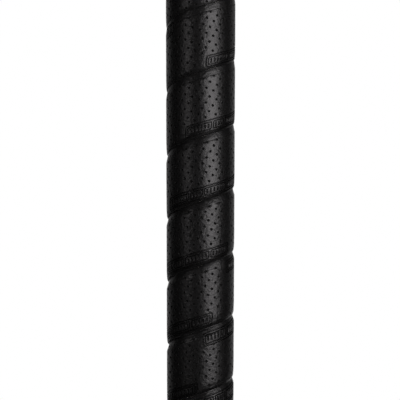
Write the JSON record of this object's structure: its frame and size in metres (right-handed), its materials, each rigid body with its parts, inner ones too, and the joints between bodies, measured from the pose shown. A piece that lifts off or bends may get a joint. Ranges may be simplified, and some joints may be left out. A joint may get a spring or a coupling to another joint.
{
  "type": "golf grip",
  "caption": "Spiral-wrapped golf club grip: a perforated, felt-backed strip wound on a rubber sleeve, with a vented butt cap at the top and a collar at the mouth.",
  "frame": {"origin": "centre of the mouth end, on the grip's axis, where the shaft goes in", "axes": "+Z along the axis from the mouth to the butt cap; -Y is the front, where the strip's seams are counted from; the strip rises in a right-handed spiral"},
  "size_m": [0.0288, 0.0288, 0.268],
  "materials": {
    "sleeve_rubber": "matte",
    "tape_film": "satin",
    "felt": "matte",
    "skin_leather": "satin",
    "black_tape": "gloss",
    "collar_rubber": "satin",
    "cap_rubber": "satin"
  },
  "bodies": {
    "root": {"underlisting": "sleeve_rubber", "double_sided_tape": "tape_film", "wrap_backing": "felt", "wrap_skin": "skin_leather", "finishing_tape": "black_tape", "mouth_collar": "collar_rubber", "butt_cap": "cap_rubber"}
  },
  "joints": []
}
